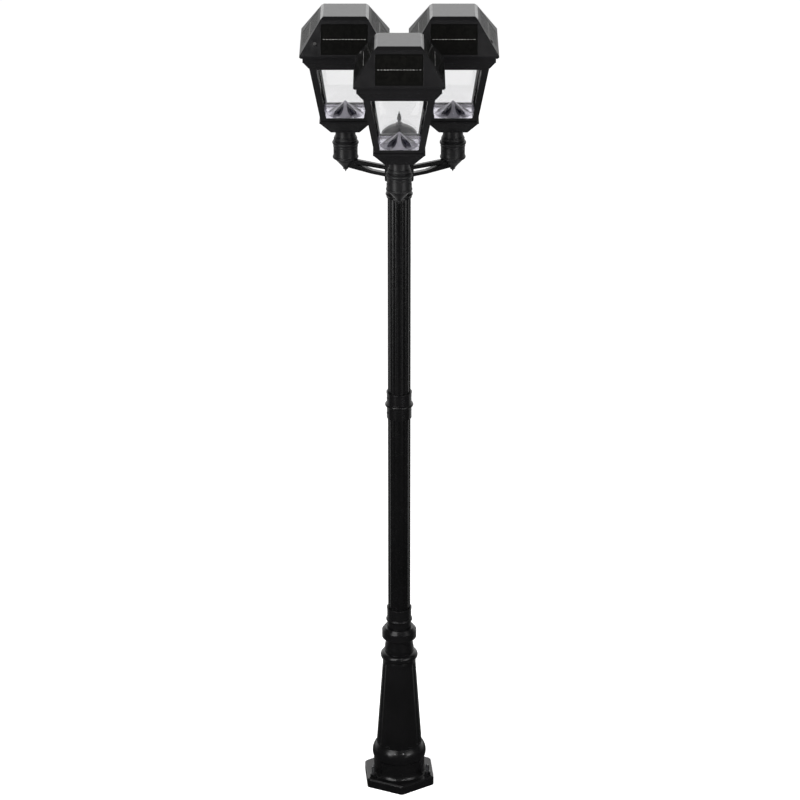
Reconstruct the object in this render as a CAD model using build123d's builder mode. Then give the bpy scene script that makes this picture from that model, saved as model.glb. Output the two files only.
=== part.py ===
from build123d import *

import math
import os

# Triple head lamp post. Millimetres, +Z up. The origin is on the post's axis, on the ground.
# The front, which the first lantern faces, is -Y. Lantern and cup heights are counted from the
# level of the arms, and each is built on its own axis and then set in place.

# Pedestal
PLATE_R = 121
PLATE_THICK = 30
PLATE_CORNER = 12
PLATE_EDGE = 4
PLATE_SIDES = 6
PLATE_TURN = 4.5
DRUM_FOOT_R = 86
DRUM_FOOT_MID_R = 81.6
DRUM_FOOT_MID_Z = 37
DRUM_FOOT_TOP = 47
DRUM_R = 80
DRUM_TOP = 81
SHOULDER_R = 84
SHOULDER_Z = 97
SHOULDER_TOP = 131
TAPER_LOW_R = 71
TAPER_LOW_Z = 137
TAPER_HIGH_R = 51.5
TAPER_HIGH_Z = 421
FLUTES = 12
TAPER_FLUTE_R = 26
TAPER_FLUTE_DEPTH = 2
TAPER_FLUTE_END_GAP = 4
TORUS_R = 58
TORUS_SECTION = 13
TORUS_Z = 440
NECK_R = 45.5
NECK_LOW_Z = 449
NECK_THIN_R = 42.6
NECK_THIN_Z = 486
FLANGE_COVE_R = 45.6
FLANGE_COVE_Z = 499
FLANGE_R = 53.5
FLANGE_LOW = 504
FLANGE_EDGE = 528
FLANGE_TOP = 539
FLANGE_TOP_R = 45
FLOOR_THICK = 12
CASTING_WALL = 7
CASTING_NECK_BORE_R = 33

# Anchors
ANCHORS = 3
ANCHOR_CIRCLE_R = 99
ANCHOR_TURN = -25.5
ANCHOR_R = 6
ANCHOR_HOLE_R = 7
ANCHOR_TOP = 66
ANCHOR_CHAMFER = 1
WASHER_R = 12
WASHER_THICK = 2.5
NUT_SIDES = 6
NUT_FLATS = 19
NUT_HEIGHT = 10.5

# Post, its collar and its coupling
POST_R = 35
POST_BORE_R = 31
POST_FLUTE_R = 18
POST_FLUTE_DEPTH = 1.5
POST_SEAT = 488
POST_JOINT = 1295
POST_TOP = 2005
COLLAR_R = 37.7
COLLAR_RIM_R = 38.8
COLLAR_RIM = 4
COLLAR_TOP = 606
COLLAR_BEAD_Z = 565
COLLAR_BEAD_R = 41
COUPLING_LOW = 1253
COUPLING_TOP = 1338
COUPLING_BEAD_R = 43
BEAD_SECTION = 5
SLEEVE_WALL = 3
SLEEVE_REACH = 90
SET_SCREW_HEIGHTS = (1271, 1320)
SET_SCREWS = 4
SET_SCREW_TURN = 20
SET_SCREW_R = 3.5
SET_SCREW_PROUD = 1.5
SOCKET_SIDES = 6
SOCKET_R = 1.9
SOCKET_DEPTH = 1.6

# Hub with its collar, dome and finial
ARM_LEVEL = 2040
HUB_COLLAR_LOW = 1967
HUB_COLLAR_TOP = 2008
HUB_BEAD_R = 40.6
HUB_BEAD_Z = 1977
HUB_R = 34
HUB_BORE_R = 25
HUB_TOP = 2159
HUB_RING_R = 38
HUB_RING_Z = 2135
HUB_RING_SECTION = 5
DOME_R = 52
DOME_UNDER_R = 49
DOME_UNDER_Z = 2161
DOME_RIM_LOW = 2163
DOME_RIM_HIGH = 2168
DOME_TOP = 2193
DOME_BULGE_R = 35.4
DOME_BULGE_Z = 2183.5
DOME_CROWN_R = 12
DOME_WALL = 5
FINIAL_COLLAR_R = 9.5
FINIAL_BULB_R = 6.5
FINIAL_TIP = 2234
FINIAL_STEM_R = 4
FINIAL_COLLAR_EDGE = 2
FINIAL_COLLAR_HIGH = 5
FINIAL_STEM_LOW = 9
FINIAL_STEM_HIGH = 12
FINIAL_BULB_HIGH = 18
FINIAL_WAIST_R = 3.5
FINIAL_WAIST_DOWN = 10
FINIAL_TIP_R = 0.8

# Arms and cups, heights from the level of the arms
HEADS = {"front": -90, "left": 150, "right": 30}
HEAD_RADIUS = 184
ARM_TOP = 17.5
ARM_BOTTOM = -17
ARM_RAIL = 12
ARM_WIDTH = 15
ARM_EDGE = 2.5
ARM_LONG_EDGE = 60
ARM_SLOT_END = 142
ARM_TIP_BOTTOM = -12
ARM_TOE_LONG = 13
ARM_TOE_SHORT = 8
ARM_TOE_HIGH = 6
ARM_SINK = 4
PAD_WIDTH = 26
PAD_CORNER = 10
PAD_TOP = 36
PAD_BOTTOM = -31.8
PAD_THICK = 8
PAD_SCREW_HEIGHTS = (26, -25.2)
PAD_SCREW_R = 3
PAD_SCREW_START = 27
PAD_HEAD_R = 5.5
PAD_HEAD_THICK = 3.2
CUP_TIP = -28
CUP_CONE = ((5, -18), (12, -9), (20, 0), (28, 9))
CUP_TIP_BEAD_R = 8
CUP_TIP_BEAD_Z = -17
CUP_TIP_BEAD_SECTION = 2
CUP_RING_Z = 20
CUP_RING_R = 38.5
CUP_RING_SECTION = 5
CUP_R = 36
CUP_LINE_Z = 54
CUP_LINE_SECTION = 1.2
CUP_RIM_Z = 65
CUP_RIM_R = 39.5
CUP_RIM_SECTION = 5.5
CUP_TOP = 71
CUP_BORE_R = 30.3
CUP_BORE_FLOOR = 20
CUP_SCREW_Z = 41
CUP_SCREW_TURNS = (60, 180, 300)
CUP_SCREW_R = 4

# Lantern, heights from the level of the arms
TURN_GAP = 0.4
FITTER_SPIGOT_R = 30
FITTER_BORE_R = 26
FITTER_LOW = 23
FITTER_SEAT_R = 33
FITTER_SEAT_TOP = 84
FITTER_BEAD_R = 35
FITTER_BEAD_Z = 78
FITTER_BEAD_SECTION = 5
FITTER_NECK_R = 30
FITTER_TOP_BEAD_R = 34
FITTER_TOP_BEAD_Z = 104
PAN_Z = 110
PAN_HALF = 42.5
PAN_TOP_HALF = 73.5
LIP_Z = 148
LIP_TOP = 154
LIP_HALF = 75.5
LIP_CORNER = 3
LIP_INNER_HALF = 56
PAN_WALL = 4
FRAME_TOP = 329
FRAME_LOW_HALF = 71.5
FRAME_HIGH_HALF = 103
FRAME_WALL = 5
RAIL_LOW = 10
RAIL_HIGH = 5
CORNER_LOW = 18
CORNER_HIGH = 20.5
GLASS_THICK = 3
GLASS_SIDE_GAP = 4
TRAY_HALF = 61.5
TRAY_WALL = 2
TRAY_TOP = 160.5
TRAY_RIBS = 17
TRAY_RIB_PITCH = 6.5
TRAY_RIB_WIDTH = 2.2
TRAY_RIB_PROUD = 1.2
TRAY_RIB_HIGH = 3.5
REFLECTOR_R = 56
REFLECTOR_FOLD_R = 36
REFLECTOR_TOP = 195
REFLECTOR_TIP_R = 3
PETALS = 5
PETAL_SPAN = 62
PETAL_STEPS = 4
CORNICE_TOP = 369.6
CORNICE_INNER_HALF = 97
CORNICE_MOUTH_HALF = 117
CORNICE_MOUTH_Z = 358
FASCIA_LOW = 352
FASCIA_HALF = 122
ROOF_SEAT_HALF = 128
ROOF_SEAT_THICK = 3
SLANT_LOW_HALF = 104.5
SLANT_HIGH_HALF = 120.5

# Roof
EAVE_Z = 370
EAVE_HALF = 131
EAVE_LIP = 5
ROOF_TOP = 466
ROOF_TOP_HALF = 70
ROOF_WALL = 5.3
ROOF_CEILING = 462
TOP_PLATE_HALF = 71
TOP_PLATE_EDGE = 3
TOP_PLATE_BEVEL = 9
TOP_PLATE_HIGH = 474
PANEL_WIDE = 136
PANEL_LONG = 91
PANEL_THICK = 1.6
PANEL_POCKET = 2
PANEL_MARGIN = 0.5
PANEL_UP_SLOPE = 51
BUTTON_UP_SLOPE = 38
BUTTON_SIDE = -86
BUTTON_R = 4.5
BUTTON_HOLE_R = 4.9
BUTTON_PROUD = 3
BUTTON_EDGE = 1
BUTTON_FLANGE_R = 7
BUTTON_FLANGE_THICK = 1.5
BUTTON_STEM_R = 1.5
BUTTON_STEM_END = 12.9
BEZEL_R = 8
BEZEL_PROUD = 0.8
LAMP_TRAY_Z = 378
LAMP_TRAY_THICK = 3
BATTERY = (74, 42, 24)
BATTERY_EDGE = 6
LED_HOUSING_R = 34
LED_HOUSING_Z = 366
LED_LENS_R = 20
LED_LENS_Z = 358
LED_LENS_EDGE = 5
SWITCH_BLOCK = (14, 8, 28)
SWITCH_FACE_Y = -96
ROOF_TURNS = {"front": -90, "left": 0, "right": 90}

SLOPE_RUN = EAVE_HALF - ROOF_TOP_HALF
SLOPE_RISE = ROOF_TOP - EAVE_Z - EAVE_LIP
SLOPE_LONG = math.hypot(SLOPE_RUN, SLOPE_RISE)
SLOPE_LEAN = SLOPE_RUN / SLOPE_RISE
FRAME_LEAN = (FRAME_HIGH_HALF - FRAME_LOW_HALF) / (FRAME_TOP - LIP_TOP)
LAMP_TRAY_TOP = LAMP_TRAY_Z + LAMP_TRAY_THICK
ROOF_WALL_NORMAL = ROOF_WALL * SLOPE_RISE / SLOPE_LONG
BUTTON_SEAT = ROOF_WALL_NORMAL + TURN_GAP

os.makedirs("parts", exist_ok=True)


def write(node, name):
    """Labels a finished sub-part and writes it under its name."""
    node.part.label = name
    export_step(node.part, f"parts/{name}.step")


def write_at(source, name, place):
    """Writes a copy of a sub-part, set in its place."""
    with BuildPart() as node:
        with Locations(place):
            add(source.part)
    write(node, name)


def square(half, height):
    """A level square of the given half width, on the axis."""
    with BuildSketch(Plane.XY.offset(height)) as face:
        Rectangle(2 * half, 2 * half)
    return face.sketch


def fluted_ring(outer_r, bore_r, flute_r, depth):
    """The section of a tube with broad shallow flutes round its outside."""
    with BuildSketch() as ring:
        Circle(outer_r)
        with PolarLocations(outer_r + flute_r - depth, FLUTES):
            Circle(flute_r, mode=Mode.SUBTRACT)
        Circle(bore_r, mode=Mode.SUBTRACT)
    return ring.sketch


def tube_profile(inner_r, outer_r, low, high):
    """Half the section of a plain ring round the Z axis."""
    with BuildSketch(Plane.XZ) as wall:
        with Locations(((inner_r + outer_r) / 2, (low + high) / 2)):
            Rectangle(outer_r - inner_r, high - low)
    return wall.sketch


def slope_plane(turn, up_slope, side=0.0):
    """A plane on a roof face, at a distance up the slope from the eave's lip, facing out."""
    along = up_slope / SLOPE_LONG
    out = EAVE_HALF - SLOPE_RUN * along
    high = EAVE_Z + EAVE_LIP + SLOPE_RISE * along
    face = Plane(
        origin=(side, -out, high),
        x_dir=(1, 0, 0),
        z_dir=(0, -SLOPE_RISE, SLOPE_RUN),
    )
    return Plane(Location((0, 0, 0), (0, 0, turn)) * face.location)


def outward_plane(heading, height, centre=(0, 0)):
    """An upright plane through a point of an axis, facing out at a heading in degrees."""
    ray = math.radians(heading)
    return Plane(
        origin=(centre[0], centre[1], height),
        x_dir=(0, 0, 1),
        z_dir=(math.cos(ray), math.sin(ray), 0),
    )


def head_spot(heading):
    """The place of a lantern's axis, seen from above."""
    ray = math.radians(heading)
    return (HEAD_RADIUS * math.cos(ray), HEAD_RADIUS * math.sin(ray))


# ---------------------------------------------------------------- pedestal and anchors

with BuildPart() as pedestal:
    with BuildSketch() as foot:
        RegularPolygon(PLATE_R, PLATE_SIDES, rotation=PLATE_TURN - 90)
        fillet(foot.vertices(), PLATE_CORNER)
    extrude(amount=PLATE_THICK)
    chamfer(pedestal.faces().sort_by(Axis.Z)[-1].edges(), PLATE_EDGE)
    with BuildSketch(Plane.XZ):
        with BuildLine():
            Polyline((0, PLATE_THICK), (DRUM_FOOT_R, PLATE_THICK))
            ThreePointArc(
                (DRUM_FOOT_R, PLATE_THICK),
                (DRUM_FOOT_MID_R, DRUM_FOOT_MID_Z),
                (DRUM_R, DRUM_FOOT_TOP),
            )
            Line((DRUM_R, DRUM_FOOT_TOP), (DRUM_R, DRUM_TOP))
            ThreePointArc(
                (DRUM_R, DRUM_TOP),
                (SHOULDER_R, SHOULDER_Z),
                (TAPER_LOW_R, SHOULDER_TOP),
            )
            Polyline(
                (TAPER_LOW_R, SHOULDER_TOP),
                (TAPER_LOW_R, TAPER_LOW_Z),
                (TAPER_HIGH_R, TAPER_HIGH_Z),
                (NECK_R, NECK_LOW_Z),
                (NECK_R, TORUS_Z + 2 * TORUS_SECTION),
                (NECK_THIN_R, NECK_THIN_Z),
            )
            ThreePointArc(
                (NECK_THIN_R, NECK_THIN_Z),
                (FLANGE_COVE_R, FLANGE_COVE_Z),
                (FLANGE_R, FLANGE_LOW),
            )
            Polyline(
                (FLANGE_R, FLANGE_LOW),
                (FLANGE_R, FLANGE_EDGE),
                (FLANGE_TOP_R, FLANGE_TOP),
                (0, FLANGE_TOP),
                (0, PLATE_THICK),
            )
        make_face()
        with Locations((TORUS_R - TORUS_SECTION, TORUS_Z)):
            Circle(TORUS_SECTION)
    revolve(axis=Axis.Z)
    with BuildSketch(Plane.XZ):
        with BuildLine():
            Polyline(
                (0, FLOOR_THICK),
                (DRUM_R - CASTING_WALL, FLOOR_THICK),
                (DRUM_R - CASTING_WALL, DRUM_TOP),
                (TAPER_LOW_R - CASTING_WALL, SHOULDER_TOP),
                (TAPER_HIGH_R - CASTING_WALL, TAPER_HIGH_Z),
                (CASTING_NECK_BORE_R, TORUS_Z),
                (CASTING_NECK_BORE_R, POST_SEAT),
                (POST_R, POST_SEAT),
                (POST_R, FLANGE_TOP),
                (0, FLANGE_TOP),
                close=True,
            )
        make_face()
    revolve(axis=Axis.Z, mode=Mode.SUBTRACT)
    # flutes down the taper, each a round cutter laid along its slope
    taper_rise = TAPER_HIGH_Z - TAPER_LOW_Z
    taper_lean = math.degrees(math.atan2(TAPER_LOW_R - TAPER_HIGH_R, taper_rise))
    flute_reach = (TAPER_LOW_R + TAPER_HIGH_R) / 2 + TAPER_FLUTE_R - TAPER_FLUTE_DEPTH
    with Locations((0, 0, (TAPER_LOW_Z + TAPER_HIGH_Z) / 2)):
        with PolarLocations(flute_reach, FLUTES):
            Cylinder(
                TAPER_FLUTE_R,
                taper_rise - TAPER_FLUTE_END_GAP,
                rotation=(0, -taper_lean, 0),
                mode=Mode.SUBTRACT,
            )
    with PolarLocations(ANCHOR_CIRCLE_R, ANCHORS, start_angle=ANCHOR_TURN):
        Cylinder(ANCHOR_HOLE_R, 3 * PLATE_THICK, mode=Mode.SUBTRACT)
write(pedestal, "pedestal")

with BuildPart() as anchor_studs:
    with BuildSketch():
        with PolarLocations(ANCHOR_CIRCLE_R, ANCHORS, start_angle=ANCHOR_TURN):
            Circle(ANCHOR_R)
    extrude(amount=ANCHOR_TOP)
    chamfer(anchor_studs.faces().group_by(Axis.Z)[-1].edges(), ANCHOR_CHAMFER)
write(anchor_studs, "anchor_studs")

with BuildPart() as anchor_washers:
    with BuildSketch(Plane.XY.offset(PLATE_THICK)):
        with PolarLocations(ANCHOR_CIRCLE_R, ANCHORS, start_angle=ANCHOR_TURN):
            Circle(WASHER_R)
            Circle(ANCHOR_R, mode=Mode.SUBTRACT)
    extrude(amount=WASHER_THICK)
write(anchor_washers, "anchor_washers")

with BuildPart() as anchor_nuts:
    with BuildSketch(Plane.XY.offset(PLATE_THICK + WASHER_THICK)):
        with PolarLocations(ANCHOR_CIRCLE_R, ANCHORS, start_angle=ANCHOR_TURN):
            RegularPolygon(NUT_FLATS / 2, NUT_SIDES, major_radius=False)
            Circle(ANCHOR_R, mode=Mode.SUBTRACT)
    extrude(amount=NUT_HEIGHT)
write(anchor_nuts, "anchor_nuts")

# ---------------------------------------------------------------- post, collar and coupling

with BuildPart() as base_collar:
    with BuildSketch(Plane.XZ):
        add(tube_profile(POST_R, COLLAR_R, FLANGE_TOP, COLLAR_TOP))
        add(tube_profile(POST_R, COLLAR_RIM_R, COLLAR_TOP - COLLAR_RIM, COLLAR_TOP))
        with Locations((COLLAR_BEAD_R - BEAD_SECTION, COLLAR_BEAD_Z)):
            Circle(BEAD_SECTION)
        add(tube_profile(0, POST_R, FLANGE_TOP, COLLAR_TOP), mode=Mode.SUBTRACT)
    revolve(axis=Axis.Z)
write(base_collar, "base_collar")

post_section = fluted_ring(POST_R, POST_BORE_R, POST_FLUTE_R, POST_FLUTE_DEPTH)

with BuildPart(Plane.XY.offset(POST_SEAT)) as lower_post:
    add(post_section)
    extrude(amount=POST_JOINT - POST_SEAT)
write(lower_post, "lower_post")

with BuildPart(Plane.XY.offset(POST_JOINT)) as upper_post:
    add(post_section)
    extrude(amount=POST_TOP - POST_JOINT)
write(upper_post, "upper_post")

with BuildPart() as coupling_sleeve:
    with BuildSketch(Plane.XY.offset(POST_JOINT - SLEEVE_REACH)):
        Circle(POST_BORE_R)
        Circle(POST_BORE_R - SLEEVE_WALL, mode=Mode.SUBTRACT)
    extrude(amount=2 * SLEEVE_REACH)
write(coupling_sleeve, "coupling_sleeve")

set_screw_planes = [
    outward_plane(SET_SCREW_TURN + turn * 360 / SET_SCREWS, screw_z)
    for screw_z in SET_SCREW_HEIGHTS
    for turn in range(SET_SCREWS)
]

with BuildPart() as post_set_screws:
    with BuildSketch(*[plane.offset(POST_R) for plane in set_screw_planes]):
        Circle(SET_SCREW_R)
    extrude(amount=COLLAR_R + SET_SCREW_PROUD - POST_R)
    with BuildSketch(*[plane.offset(COLLAR_R + SET_SCREW_PROUD) for plane in set_screw_planes]):
        RegularPolygon(SOCKET_R, SOCKET_SIDES)
    extrude(amount=-SOCKET_DEPTH, mode=Mode.SUBTRACT)
write(post_set_screws, "post_set_screws")

with BuildPart() as coupling:
    with BuildSketch(Plane.XZ):
        add(tube_profile(POST_R, COLLAR_R, COUPLING_LOW, COUPLING_TOP))
        add(tube_profile(POST_R, COLLAR_RIM_R, COUPLING_TOP - COLLAR_RIM, COUPLING_TOP))
        with Locations((COUPLING_BEAD_R - BEAD_SECTION, (COUPLING_LOW + COUPLING_TOP) / 2)):
            Circle(BEAD_SECTION)
        add(tube_profile(0, POST_R, COUPLING_LOW, COUPLING_TOP), mode=Mode.SUBTRACT)
    revolve(axis=Axis.Z)
    with BuildSketch(*set_screw_planes):
        Circle(SET_SCREW_R)
    extrude(amount=COUPLING_BEAD_R, mode=Mode.SUBTRACT)
write(coupling, "coupling")

# ---------------------------------------------------------------- hub, dome and finial

pad_screw_planes = [
    outward_plane(heading, ARM_LEVEL + screw_z)
    for heading in HEADS.values()
    for screw_z in PAD_SCREW_HEIGHTS
]

with BuildPart() as arm_screws:
    with BuildSketch(*[plane.offset(PAD_SCREW_START) for plane in pad_screw_planes]):
        Circle(PAD_SCREW_R)
    extrude(amount=HUB_R + PAD_THICK - PAD_SCREW_START)
    with BuildSketch(*[plane.offset(HUB_R + PAD_THICK) for plane in pad_screw_planes]):
        Circle(PAD_HEAD_R)
    extrude(amount=PAD_HEAD_THICK)
    pad_head_end = HUB_R + PAD_THICK + PAD_HEAD_THICK
    with BuildSketch(*[plane.offset(pad_head_end) for plane in pad_screw_planes]):
        RegularPolygon(SOCKET_R, SOCKET_SIDES)
    extrude(amount=-SOCKET_DEPTH, mode=Mode.SUBTRACT)
write(arm_screws, "arm_screws")

with BuildPart() as hub_body:
    with BuildSketch(Plane.XZ):
        add(tube_profile(HUB_BORE_R, HUB_R, POST_TOP, HUB_TOP))
        with Locations((HUB_RING_R - HUB_RING_SECTION, HUB_RING_Z)):
            Circle(HUB_RING_SECTION)
        # the collar that goes over the post's top
        add(tube_profile(HUB_BORE_R, COLLAR_R, HUB_COLLAR_LOW, HUB_COLLAR_TOP))
        with Locations((HUB_BEAD_R - BEAD_SECTION, HUB_BEAD_Z)):
            Circle(BEAD_SECTION)
        add(tube_profile(0, POST_R, HUB_COLLAR_LOW, POST_TOP), mode=Mode.SUBTRACT)
    revolve(axis=Axis.Z)
    add(arm_screws.part, mode=Mode.SUBTRACT)
write(hub_body, "hub_body")

with BuildPart() as dome_cap:
    with BuildSketch(Plane.XZ):
        with BuildLine():
            Polyline(
                (0, HUB_TOP),
                (HUB_R, HUB_TOP),
                (DOME_UNDER_R, DOME_UNDER_Z),
                (DOME_R, DOME_RIM_LOW),
                (DOME_R, DOME_RIM_HIGH),
            )
            ThreePointArc(
                (DOME_R, DOME_RIM_HIGH),
                (DOME_BULGE_R, DOME_BULGE_Z),
                (DOME_CROWN_R, DOME_TOP),
            )
            Polyline((DOME_CROWN_R, DOME_TOP), (0, DOME_TOP), (0, HUB_TOP))
        make_face()
    revolve(axis=Axis.Z)
    with BuildSketch(Plane.XY.offset(HUB_TOP)):
        Circle(HUB_BORE_R)
    extrude(amount=DOME_RIM_HIGH + DOME_WALL - HUB_TOP, mode=Mode.SUBTRACT)
write(dome_cap, "dome_cap")

with BuildPart() as finial:
    with BuildSketch(Plane.XZ):
        with BuildLine():
            Polyline(
                (0, DOME_TOP),
                (FINIAL_COLLAR_R - FINIAL_COLLAR_EDGE, DOME_TOP),
                (FINIAL_COLLAR_R, DOME_TOP + FINIAL_COLLAR_EDGE),
                (FINIAL_COLLAR_R, DOME_TOP + FINIAL_COLLAR_HIGH),
                (FINIAL_STEM_R, DOME_TOP + FINIAL_STEM_LOW),
                (FINIAL_STEM_R, DOME_TOP + FINIAL_STEM_HIGH),
            )
            Spline(
                (FINIAL_STEM_R, DOME_TOP + FINIAL_STEM_HIGH),
                (FINIAL_BULB_R, DOME_TOP + FINIAL_BULB_HIGH),
                (FINIAL_WAIST_R, FINIAL_TIP - FINIAL_WAIST_DOWN),
                (FINIAL_TIP_R, FINIAL_TIP),
            )
            Polyline((FINIAL_TIP_R, FINIAL_TIP), (0, FINIAL_TIP), (0, DOME_TOP))
        make_face()
    revolve(axis=Axis.Z)
write(finial, "finial")

# ---------------------------------------------------------------- cups and arms, along +X

with BuildPart() as cup:
    with BuildSketch(Plane.XZ):
        with BuildLine():
            Polyline(
                (0, CUP_TOP),
                (0, CUP_TIP),
                *CUP_CONE,
                (CUP_R, CUP_RING_Z),
                (CUP_R, CUP_TOP),
                close=True,
            )
        make_face()
        with Locations((CUP_RING_R - CUP_RING_SECTION, CUP_RING_Z)):
            Circle(CUP_RING_SECTION)
        with Locations((CUP_RIM_R - CUP_RIM_SECTION, CUP_RIM_Z)):
            Circle(CUP_RIM_SECTION)
        with Locations((CUP_R, CUP_LINE_Z)):
            Circle(CUP_LINE_SECTION)
        with Locations((CUP_TIP_BEAD_R - CUP_TIP_BEAD_SECTION, CUP_TIP_BEAD_Z)):
            Circle(CUP_TIP_BEAD_SECTION)
    revolve(axis=Axis.Z)
    with BuildSketch(Plane.XY.offset(CUP_BORE_FLOOR)):
        Circle(CUP_BORE_R)
    extrude(amount=CUP_TOP - CUP_BORE_FLOOR, mode=Mode.SUBTRACT)
    with BuildSketch(*[outward_plane(turn, CUP_SCREW_Z) for turn in CUP_SCREW_TURNS]):
        Circle(CUP_SCREW_R)
    extrude(amount=CUP_RIM_R, mode=Mode.SUBTRACT)

cup_screw_planes = [
    outward_plane(heading + turn, ARM_LEVEL + CUP_SCREW_Z, head_spot(heading))
    for heading in HEADS.values()
    for turn in CUP_SCREW_TURNS
]

with BuildPart() as cup_screws:
    with BuildSketch(*[plane.offset(CUP_BORE_R + TURN_GAP) for plane in cup_screw_planes]):
        Circle(CUP_SCREW_R)
    extrude(amount=CUP_R + SET_SCREW_PROUD - CUP_BORE_R - TURN_GAP)
    with BuildSketch(*[plane.offset(CUP_R + SET_SCREW_PROUD) for plane in cup_screw_planes]):
        RegularPolygon(SOCKET_R, SOCKET_SIDES)
    extrude(amount=-SOCKET_DEPTH, mode=Mode.SUBTRACT)
write(cup_screws, "cup_screws")

with BuildPart() as arm:
    with BuildSketch(Plane.XZ):
        with BuildLine():
            Polyline(
                (HUB_R - ARM_SINK, ARM_TOP),
                (HEAD_RADIUS - CUP_R + ARM_SINK, ARM_TOP),
                (HEAD_RADIUS - ARM_TOE_SHORT, ARM_TIP_BOTTOM + ARM_TOE_HIGH),
                (HEAD_RADIUS - ARM_TOE_LONG, ARM_TIP_BOTTOM),
                (HEAD_RADIUS / 2, ARM_BOTTOM),
                (HUB_R - ARM_SINK, ARM_BOTTOM),
                close=True,
            )
        make_face()
        with BuildLine():
            Polyline(
                (HUB_R + PAD_THICK, ARM_TOP - ARM_RAIL),
                (ARM_SLOT_END, (ARM_TOP + ARM_TIP_BOTTOM) / 2),
                (HEAD_RADIUS / 2, ARM_BOTTOM + ARM_RAIL),
                (HUB_R + PAD_THICK, ARM_BOTTOM + ARM_RAIL),
                close=True,
            )
        make_face(mode=Mode.SUBTRACT)
    extrude(amount=ARM_WIDTH / 2, both=True)
    long_edges = arm.edges().filter_by(lambda edge: edge.length > ARM_LONG_EDGE)
    chamfer(long_edges, ARM_EDGE)
    with BuildSketch(Plane.YZ.offset(HUB_R - ARM_SINK)):
        with Locations((0, (PAD_TOP + PAD_BOTTOM) / 2)):
            RectangleRounded(PAD_WIDTH, PAD_TOP - PAD_BOTTOM, PAD_CORNER)
    extrude(amount=PAD_THICK + ARM_SINK)
    Cylinder(HUB_R, 4 * PAD_TOP, mode=Mode.SUBTRACT)
    with Locations((HEAD_RADIUS, 0, 0)):
        add(cup.part, mode=Mode.SUBTRACT)
    with Locations((0, 0, -ARM_LEVEL)):
        with Locations(Location((0, 0, 0), (0, 0, -HEADS["front"]))):
            add(arm_screws.part, mode=Mode.SUBTRACT)

for head, heading in HEADS.items():
    write_at(arm, f"arm_{head}", Location((0, 0, ARM_LEVEL), (0, 0, heading)))
    write_at(cup, f"cup_{head}", Location((*head_spot(heading), ARM_LEVEL), (0, 0, heading)))

# ---------------------------------------------------------------- one lantern, on its own axis

with BuildPart() as fitter:
    with BuildSketch(Plane.XZ):
        add(tube_profile(FITTER_BORE_R, FITTER_SPIGOT_R, FITTER_LOW, CUP_TOP + TURN_GAP))
        add(tube_profile(FITTER_BORE_R, FITTER_SEAT_R, CUP_TOP + TURN_GAP, FITTER_SEAT_TOP))
        add(tube_profile(FITTER_BORE_R, FITTER_NECK_R, FITTER_BEAD_Z, PAN_Z))
        add(tube_profile(FITTER_BORE_R, FITTER_TOP_BEAD_R, FITTER_TOP_BEAD_Z, PAN_Z))
        with Locations((FITTER_BEAD_R - FITTER_BEAD_SECTION, FITTER_BEAD_Z)):
            Circle(FITTER_BEAD_SECTION)
        add(tube_profile(0, FITTER_BORE_R, FITTER_LOW, PAN_Z), mode=Mode.SUBTRACT)
    revolve(axis=Axis.Z)

with BuildPart() as base_pan:
    loft([square(PAN_HALF, PAN_Z), square(PAN_TOP_HALF, LIP_Z)], ruled=True)
    with BuildSketch(Plane.XY.offset(LIP_Z)):
        RectangleRounded(2 * LIP_HALF, 2 * LIP_HALF, LIP_CORNER)
    extrude(amount=LIP_TOP - LIP_Z)
    loft(
        [square(PAN_HALF - PAN_WALL, PAN_Z + PAN_WALL), square(LIP_INNER_HALF, LIP_TOP)],
        ruled=True,
        mode=Mode.SUBTRACT,
    )
    with BuildSketch(Plane.XY.offset(PAN_Z)):
        Circle(FITTER_BORE_R)
    extrude(amount=PAN_WALL, mode=Mode.SUBTRACT)


def frame_half(height):
    """Half the frame's outside width at a height."""
    return FRAME_LOW_HALF + FRAME_LEAN * (height - LIP_TOP)


def window(half_low, half_high):
    """Two level rectangles, a window's width, that reach through the lantern along Y."""
    sections = []
    for half, height in ((half_low, LIP_TOP + RAIL_LOW), (half_high, FRAME_TOP - RAIL_HIGH)):
        with BuildSketch(Plane.XY.offset(height)) as level:
            Rectangle(2 * half, 4 * FRAME_HIGH_HALF)
        sections.append(level.sketch)
    return sections


with BuildPart() as window_cut:
    opening = window(
        frame_half(LIP_TOP + RAIL_LOW) - CORNER_LOW,
        frame_half(FRAME_TOP - RAIL_HIGH) - CORNER_HIGH,
    )
    loft(opening, ruled=True)

with BuildPart() as window_frame:
    loft([square(FRAME_LOW_HALF, LIP_TOP), square(FRAME_HIGH_HALF, FRAME_TOP)], ruled=True)
    loft(
        [
            square(FRAME_LOW_HALF - FRAME_WALL, LIP_TOP),
            square(FRAME_HIGH_HALF - FRAME_WALL, FRAME_TOP),
        ],
        ruled=True,
        mode=Mode.SUBTRACT,
    )
    for turn in (0, 90):
        with Locations(Location((0, 0, 0), (0, 0, turn))):
            add(window_cut.part, mode=Mode.SUBTRACT)

with BuildPart() as glass_pair:
    loft(
        [
            square(FRAME_LOW_HALF - FRAME_WALL, LIP_TOP),
            square(FRAME_HIGH_HALF - FRAME_WALL, FRAME_TOP),
        ],
        ruled=True,
    )
    loft(
        [
            square(FRAME_LOW_HALF - FRAME_WALL - GLASS_THICK, LIP_TOP),
            square(FRAME_HIGH_HALF - FRAME_WALL - GLASS_THICK, FRAME_TOP),
        ],
        ruled=True,
        mode=Mode.SUBTRACT,
    )
    pane_sections = []
    for outside, height in ((FRAME_LOW_HALF, LIP_TOP), (FRAME_HIGH_HALF, FRAME_TOP)):
        with BuildSketch(Plane.XY.offset(height), mode=Mode.PRIVATE) as level:
            Rectangle(2 * (outside - FRAME_WALL - GLASS_SIDE_GAP), 4 * FRAME_HIGH_HALF)
        pane_sections.append(level.sketch)
    loft(pane_sections, ruled=True, mode=Mode.INTERSECT)

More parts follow.
